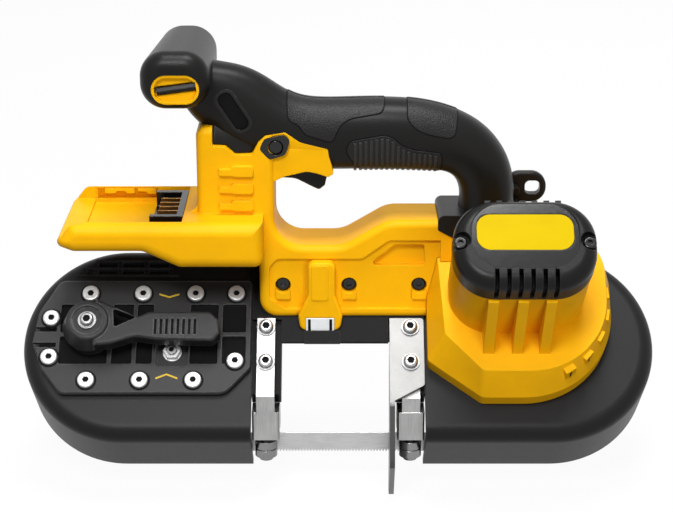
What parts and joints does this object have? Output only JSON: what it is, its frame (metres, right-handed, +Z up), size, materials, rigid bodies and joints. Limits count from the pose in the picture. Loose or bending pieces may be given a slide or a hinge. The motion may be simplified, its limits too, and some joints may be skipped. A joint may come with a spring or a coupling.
{
  "type": "portable band saw",
  "caption": "Hand-held battery band saw with a tilted two-wheel blade frame, an open throat with roller guides, a closed-loop grip, a front knob, a motor pod and a tension lever.",
  "frame": {"origin": "on the left face of the work stop, level with the blade's tooth line", "axes": "+Z up through the handle, +X along the blade from the idler wheel to the drive wheel, -Y towards the user's side that the picture shows"},
  "size_m": [0.3746, 0.1439, 0.2645],
  "materials": {
    "yellow_housing": "satin",
    "yellow_plate": "gloss",
    "black_grip": "fine grain",
    "black_plastic": "fine grain",
    "gloss_black": "gloss",
    "black_frame": "black powder coat",
    "cast_alloy": "cast",
    "tyre_rubber": "matte",
    "blade_steel": "ground",
    "zinc_steel": "bright zinc",
    "guide_steel": "brushed",
    "bearing_steel": "ground",
    "dark_steel": "black oxide",
    "contact_brass": "plain",
    "inner_plastic": "plain",
    "clear_lens": "clear"
  },
  "bodies": {
    "saw_frame": {"front_housing": "yellow_housing", "rear_housing": "yellow_housing", "motor_housing": "yellow_housing", "key_holder": "yellow_housing", "cap_plate": "yellow_plate", "front_grip": "black_grip", "rear_grip": "black_grip", "motor_cap": "black_plastic", "terminal_block": "black_plastic", "tension_plate": "black_plastic", "idler_guard": "black_frame", "drive_guard": "black_frame", "main_frame": "black_frame", "saw_blade": "blade_steel", "plate_screws": "zinc_steel", "guide_bolts": "zinc_steel", "tracking_nut": "zinc_steel", "work_stop": "zinc_steel", "cap_screws": "zinc_steel", "left_guide": "guide_steel", "right_guide": "guide_steel", "drive_bearings": "bearing_steel", "motor_bearings": "bearing_steel", "roller_pins": "bearing_steel", "motor_stator": "bearing_steel", "tension_spring": "bearing_steel", "hook_pin": "bearing_steel", "housing_screws": "dark_steel", "terminal_blades": "contact_brass", "trigger_switch": "inner_plastic", "control_module": "inner_plastic", "led_board": "inner_plastic", "led_lens": "clear_lens"},
    "drive_wheel": {"drive_wheel": "cast_alloy", "drive_tyre": "tyre_rubber", "drive_shaft": "bearing_steel", "drive_wheel_bolt": "zinc_steel", "drive_gear": "bearing_steel"},
    "relay_gear": {"relay_gear": "bearing_steel"},
    "motor_rotor": {"motor_rotor": "bearing_steel", "motor_fan": "inner_plastic"},
    "tension_carriage": {"tension_carriage": "cast_alloy", "idler_axle": "bearing_steel"},
    "idler_wheel": {"idler_wheel": "cast_alloy", "idler_tyre": "tyre_rubber", "idler_bearing": "bearing_steel"},
    "tension_lever": {"tension_lever": "black_plastic", "lever_cam": "bearing_steel", "lever_bolt": "zinc_steel"},
    "tracking_screw": {"tracking_screw": "bearing_steel"},
    "trigger": {"trigger": "black_plastic"},
    "lock_off_button": {"lock_off_button": "gloss_black"},
    "hex_key": {"hex_key": "dark_steel"},
    "hang_hook": {"hang_hook": "black_plastic"},
    "left_front_roller": {"left_front_roller": "bearing_steel"},
    "left_rear_roller": {"left_rear_roller": "bearing_steel"},
    "left_backup_bearing": {"left_backup_bearing": "bearing_steel"},
    "right_front_roller": {"right_front_roller": "bearing_steel"},
    "right_rear_roller": {"right_rear_roller": "bearing_steel"},
    "right_backup_bearing": {"right_backup_bearing": "bearing_steel"}
  },
  "joints": [
    {"name": "drive_wheel_spin", "type": "hinge", "parent": "saw_frame", "child": "drive_wheel", "pos_m": [0.0963, 0.04512, 0.04312], "axis": [0, -0.7071, 0.7071], "continuous": true},
    {"name": "relay_gear_spin", "type": "hinge", "parent": "saw_frame", "child": "relay_gear", "pos_m": [0.09728, 0.06845, 0.06645], "axis": [0, -0.7071, 0.7071], "continuous": true},
    {"name": "motor_spin", "type": "hinge", "parent": "saw_frame", "child": "motor_rotor", "pos_m": [0.0745, 0.0582, 0.0562], "axis": [0, -0.7071, 0.7071], "continuous": true},
    {"name": "tension_lever_turn", "type": "hinge", "parent": "saw_frame", "child": "tension_lever", "pos_m": [-0.1765, 0.04795, 0.04595], "axis": [0, 0.7071, -0.7071], "range_deg": [0, 180]},
    {"name": "carriage_slide", "type": "slide", "parent": "saw_frame", "child": "tension_carriage", "axis": [1, 0, 0], "range_m": [0, 0.009], "deforming": ["tension_spring"]},
    {"name": "idler_wheel_spin", "type": "hinge", "parent": "tension_carriage", "child": "idler_wheel", "pos_m": [-0.1563, 0.04512, 0.04312], "axis": [0, -0.7071, 0.7071], "continuous": true},
    {"name": "tracking_screw_turn", "type": "hinge", "parent": "saw_frame", "child": "tracking_screw", "pos_m": [-0.1278, 0.01776, 0.05818], "axis": [0, -0.7071, 0.7071], "range_deg": [-180, 180]},
    {"name": "trigger_pull", "type": "hinge", "parent": "saw_frame", "child": "trigger", "pos_m": [-0.062, 0.05, 0.166], "axis": [0, -1, 0], "range_deg": [0, 9], "stiffness_Nm_per_rad": 1.2, "springref_deg": -2.86},
    {"name": "lock_off_push", "type": "slide", "parent": "saw_frame", "child": "lock_off_button", "axis": [0, 1, 0], "range_m": [0, 0.004]},
    {"name": "hex_key_pull", "type": "slide", "parent": "saw_frame", "child": "hex_key", "axis": [0, -1, 0], "range_m": [0, 0.045]},
    {"name": "hang_hook_swing", "type": "hinge", "parent": "saw_frame", "child": "hang_hook", "pos_m": [0.076, 0.0698, 0.145], "axis": [0, -1, 0], "range_deg": [0, 90]},
    {"name": "left_front_roller_spin", "type": "hinge", "parent": "saw_frame", "child": "left_front_roller", "pos_m": [-0.0725, 0.00115, 0.005], "axis": [0, 0, 1], "continuous": true},
    {"name": "left_rear_roller_spin", "type": "hinge", "parent": "saw_frame", "child": "left_rear_roller", "pos_m": [-0.0725, 0.01485, 0.005], "axis": [0, 0, 1], "continuous": true},
    {"name": "left_backup_bearing_spin", "type": "hinge", "parent": "saw_frame", "child": "left_backup_bearing", "pos_m": [-0.0725, 0.008, 0.0186], "axis": [0, 1, 0], "continuous": true},
    {"name": "right_front_roller_spin", "type": "hinge", "parent": "saw_frame", "child": "right_front_roller", "pos_m": [0.0125, 0.00115, 0.005], "axis": [0, 0, 1], "continuous": true},
    {"name": "right_rear_roller_spin", "type": "hinge", "parent": "saw_frame", "child": "right_rear_roller", "pos_m": [0.0125, 0.01485, 0.005], "axis": [0, 0, 1], "continuous": true},
    {"name": "right_backup_bearing_spin", "type": "hinge", "parent": "saw_frame", "child": "right_backup_bearing", "pos_m": [0.0125, 0.008, 0.0186], "axis": [0, 1, 0], "continuous": true}
  ],
  "couplings": [
    {"joint": "relay_gear_spin", "follows": "drive_wheel_spin", "ratio": -5.6},
    {"joint": "motor_spin", "follows": "drive_wheel_spin", "ratio": 28},
    {"joint": "idler_wheel_spin", "follows": "drive_wheel_spin", "ratio": 1},
    {"joint": "tension_lever_turn", "follows": "carriage_slide", "rad_per_m": 349.07},
    {"joint": "left_front_roller_spin", "follows": "drive_wheel_spin", "ratio": -8.0769},
    {"joint": "left_rear_roller_spin", "follows": "drive_wheel_spin", "ratio": 8.0769},
    {"joint": "left_backup_bearing_spin", "follows": "drive_wheel_spin", "ratio": -8.0769},
    {"joint": "right_front_roller_spin", "follows": "drive_wheel_spin", "ratio": -8.0769},
    {"joint": "right_rear_roller_spin", "follows": "drive_wheel_spin", "ratio": 8.0769},
    {"joint": "right_backup_bearing_spin", "follows": "drive_wheel_spin", "ratio": -8.0769}
  ]
}
